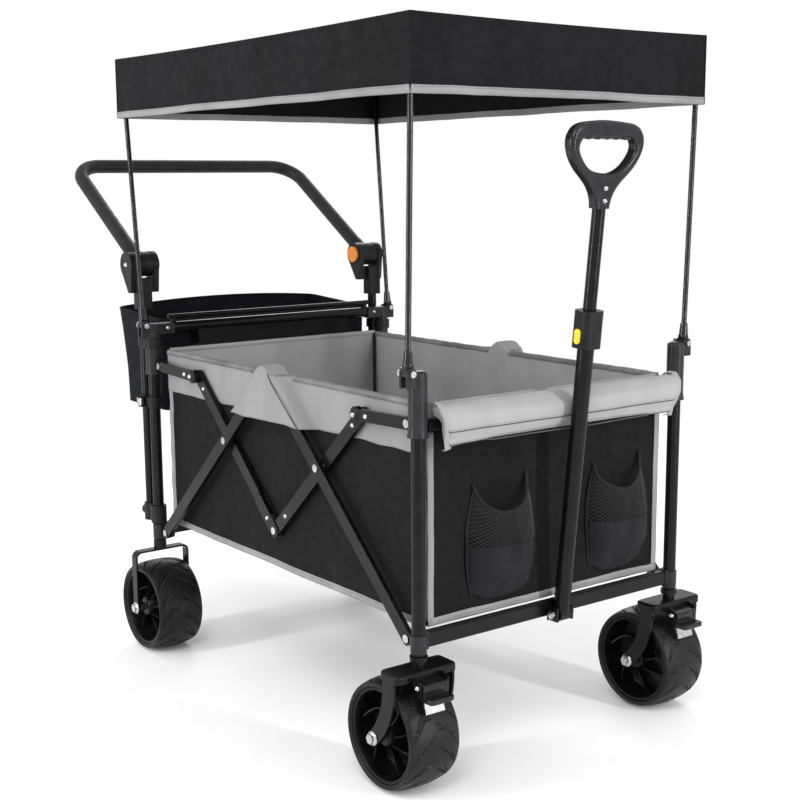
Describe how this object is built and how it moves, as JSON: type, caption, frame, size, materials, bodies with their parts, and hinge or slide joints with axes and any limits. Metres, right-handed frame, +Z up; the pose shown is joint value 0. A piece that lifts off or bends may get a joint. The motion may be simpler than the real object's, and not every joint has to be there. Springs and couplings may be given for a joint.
{
  "type": "kids pull wagon",
  "caption": "Folding fabric utility wagon with a flat canopy on rods, braked swivel casters, a telescoping pull handle and a tilting push bar.",
  "frame": {"origin": "middle of the whole wagon's footprint box, on the ground", "axes": "+X towards the pull handle, +Y to the wagon's left, +Z up"},
  "size_m": [1.4098, 0.726, 1.235],
  "materials": {
    "frame_steel": "satin black powder coat",
    "black_plastic": "moulded, fine grain",
    "gloss_black_plastic": "polished",
    "bright_steel": "zinc plated",
    "tyre_rubber": "moulded tread",
    "black_fabric": "woven polyester",
    "grey_fabric": "woven polyester, padded",
    "foam": "smooth foam sleeve",
    "orange_plastic": "satin",
    "yellow_plastic": "satin"
  },
  "bodies": {
    "rear_frame": {"rear_posts": "frame_steel", "rear_cross_bars": "frame_steel", "rear_post_fittings": "black_plastic", "rear_bolts": "bright_steel", "rear_canopy_rods": "frame_steel", "rear_forks": "frame_steel", "push_guide_clips": "black_plastic", "rear_basket": "black_fabric", "rear_panel": "black_fabric", "side_panels": "black_fabric", "floor_panel": "black_fabric"},
    "rear_long_arms": {"rear_long_bars": "frame_steel", "rear_bar_rivets": "bright_steel"},
    "front_long_arms": {"front_long_bars": "frame_steel", "front_bar_rivets": "bright_steel"},
    "front_frame": {"front_posts": "frame_steel", "front_rails": "frame_steel", "front_post_fittings": "black_plastic", "front_bolts": "bright_steel", "front_canopy_rods": "frame_steel", "handle_foot_bracket": "frame_steel", "front_panel": "black_fabric", "front_bumper": "grey_fabric", "front_pockets": "black_fabric"},
    "rear_short_arms": {"rear_short_bars": "frame_steel", "short_bar_rivets": "bright_steel"},
    "front_short_arms": {"front_short_bars": "frame_steel"},
    "rear_link_arms": {"rear_links": "frame_steel"},
    "front_link_arms": {"front_links": "frame_steel"},
    "canopy": {"canopy_cover": "black_fabric"},
    "handle_tube": {"pull_outer_tube": "frame_steel", "pull_coupling": "black_plastic"},
    "handle_grip": {"pull_inner_tube": "frame_steel", "pull_grip": "gloss_black_plastic"},
    "sliding_tubes": {"push_slide_tubes": "frame_steel", "push_connectors": "black_plastic"},
    "tilting_bar": {"push_bar": "foam", "push_hubs": "black_plastic"},
    "caster_right": {"caster_fork_right": "frame_steel", "caster_axle_right": "bright_steel"},
    "brake_right": {"brake_pedal_right": "black_plastic", "brake_shoe_right": "bright_steel"},
    "front_wheel_right": {"front_tyre_right": "tyre_rubber", "front_rim_right": "black_plastic"},
    "rear_wheel_right": {"rear_tyre_right": "tyre_rubber", "rear_rim_right": "black_plastic"},
    "grip_button_right": {"pull_button_right": "yellow_plastic"},
    "tilt_button_right": {"hub_button_right": "orange_plastic"},
    "lever_right": {"release_lever_right": "bright_steel"},
    "caster_left": {"caster_fork_left": "frame_steel", "caster_axle_left": "bright_steel"},
    "brake_left": {"brake_pedal_left": "black_plastic", "brake_shoe_left": "bright_steel"},
    "front_wheel_left": {"front_tyre_left": "tyre_rubber", "front_rim_left": "black_plastic"},
    "rear_wheel_left": {"rear_tyre_left": "tyre_rubber", "rear_rim_left": "black_plastic"},
    "grip_button_left": {"pull_button_left": "yellow_plastic"},
    "tilt_button_left": {"hub_button_left": "orange_plastic"},
    "lever_left": {"release_lever_left": "bright_steel"}
  },
  "joints": [
    {"name": "fold", "type": "hinge", "parent": "rear_frame", "child": "rear_long_arms", "pos_m": [-0.28538, 0, 0.2555], "axis": [0, -1, 0], "range_deg": [0, 32.5], "deforming": ["side_panels", "floor_panel", "canopy_cover"]},
    {"name": "fold_apex", "type": "hinge", "parent": "rear_long_arms", "child": "front_long_arms", "pos_m": [0.13612, 0, 0.64174], "axis": [0, -1, 0], "range_deg": [-66, 1]},
    {"name": "fold_front_foot", "type": "hinge", "parent": "front_long_arms", "child": "front_frame", "pos_m": [0.55762, 0, 0.2555], "axis": [0, -1, 0], "range_deg": [-1, 33.5]},
    {"name": "fold_rear_cross", "type": "hinge", "parent": "rear_long_arms", "child": "rear_short_arms", "pos_m": [-0.0249, 0, 0.49419], "axis": [0, -1, 0], "range_deg": [-66, 1]},
    {"name": "fold_front_cross", "type": "hinge", "parent": "front_long_arms", "child": "front_short_arms", "pos_m": [0.29714, 0, 0.49419], "axis": [0, -1, 0], "range_deg": [-1, 66]},
    {"name": "fold_rear_link", "type": "hinge", "parent": "rear_frame", "child": "rear_link_arms", "pos_m": [-0.28938, 0, 0.611], "axis": [0, -1, 0], "range_deg": [-1, 73.15]},
    {"name": "fold_front_link", "type": "hinge", "parent": "front_frame", "child": "front_link_arms", "pos_m": [0.56162, 0, 0.611], "axis": [0, -1, 0], "range_deg": [-73.15, 1]},
    {"name": "caster_swivel_right", "type": "hinge", "parent": "front_frame", "child": "caster_right", "pos_m": [0.58812, -0.295, 0.236], "axis": [0, 0, 1], "continuous": true},
    {"name": "front_wheel_spin_right", "type": "hinge", "parent": "caster_right", "child": "front_wheel_right", "pos_m": [0.54412, -0.295, 0.095], "axis": [0, 1, 0], "continuous": true},
    {"name": "rear_wheel_spin_right", "type": "hinge", "parent": "rear_frame", "child": "rear_wheel_right", "pos_m": [-0.31588, -0.295, 0.095], "axis": [0, 1, 0], "continuous": true},
    {"name": "brake_right", "type": "hinge", "parent": "caster_right", "child": "brake_right", "pos_m": [0.62112, -0.295, 0.197], "axis": [0, 1, 0], "range_deg": [0, 8]},
    {"name": "grip_button_press_right", "type": "slide", "parent": "handle_tube", "child": "grip_button_right", "axis": [0, 1, 0], "range_m": [0, 0.0025], "stiffness_N_per_m": 400},
    {"name": "tilt_button_press_right", "type": "slide", "parent": "sliding_tubes", "child": "tilt_button_right", "axis": [0, -1, 0], "range_m": [0, 0.003], "stiffness_N_per_m": 600},
    {"name": "release_lever_right", "type": "hinge", "parent": "rear_frame", "child": "lever_right", "pos_m": [-0.33388, -0.317, 0.5335], "axis": [0, 0, 1], "range_deg": [0, 80]},
    {"name": "caster_swivel_left", "type": "hinge", "parent": "front_frame", "child": "caster_left", "pos_m": [0.58812, 0.295, 0.236], "axis": [0, 0, 1], "continuous": true},
    {"name": "front_wheel_spin_left", "type": "hinge", "parent": "caster_left", "child": "front_wheel_left", "pos_m": [0.54412, 0.295, 0.095], "axis": [0, 1, 0], "continuous": true},
    {"name": "rear_wheel_spin_left", "type": "hinge", "parent": "rear_frame", "child": "rear_wheel_left", "pos_m": [-0.31588, 0.295, 0.095], "axis": [0, 1, 0], "continuous": true},
    {"name": "brake_left", "type": "hinge", "parent": "caster_left", "child": "brake_left", "pos_m": [0.62112, 0.295, 0.197], "axis": [0, 1, 0], "range_deg": [0, 8]},
    {"name": "grip_button_press_left", "type": "slide", "parent": "handle_tube", "child": "grip_button_left", "axis": [0, -1, 0], "range_m": [0, 0.0025], "stiffness_N_per_m": 400},
    {"name": "tilt_button_press_left", "type": "slide", "parent": "sliding_tubes", "child": "tilt_button_left", "axis": [0, 1, 0], "range_m": [0, 0.003], "stiffness_N_per_m": 600},
    {"name": "release_lever_left", "type": "hinge", "parent": "rear_frame", "child": "lever_left", "pos_m": [-0.33388, 0.317, 0.5335], "axis": [0, 0, -1], "range_deg": [0, 80]},
    {"name": "pull_handle_tilt", "type": "hinge", "parent": "front_frame", "child": "handle_tube", "pos_m": [0.60862, 0, 0.253], "axis": [0, 1, 0], "range_deg": [0, 95]},
    {"name": "pull_handle_extend", "type": "slide", "parent": "handle_tube", "child": "handle_grip", "axis": [0.1035, 0, 0.9946], "range_m": [-0.16, 0.17]},
    {"name": "push_handle_height", "type": "slide", "parent": "rear_frame", "child": "sliding_tubes", "axis": [0, 0, 1], "range_m": [0, 0.1]},
    {"name": "push_handle_tilt", "type": "hinge", "parent": "sliding_tubes", "child": "tilting_bar", "pos_m": [-0.37188, 0, 0.818], "axis": [0, 1, 0], "range_deg": [-80, 50]},
    {"name": "canopy_lift", "type": "slide", "parent": "rear_frame", "child": "canopy", "axis": [0, 0, 1], "range_m": [0, 0.15]}
  ],
  "couplings": [
    {"joint": "fold_apex", "follows": "fold", "ratio": -2},
    {"joint": "fold_front_foot", "follows": "fold", "ratio": 1},
    {"joint": "fold_rear_cross", "follows": "fold", "ratio": -2},
    {"joint": "fold_front_cross", "follows": "fold", "ratio": 2},
    {"joint": "fold_rear_link", "follows": "fold", "ratio": 2.22},
    {"joint": "fold_front_link", "follows": "fold", "ratio": -2.22}
  ]
}
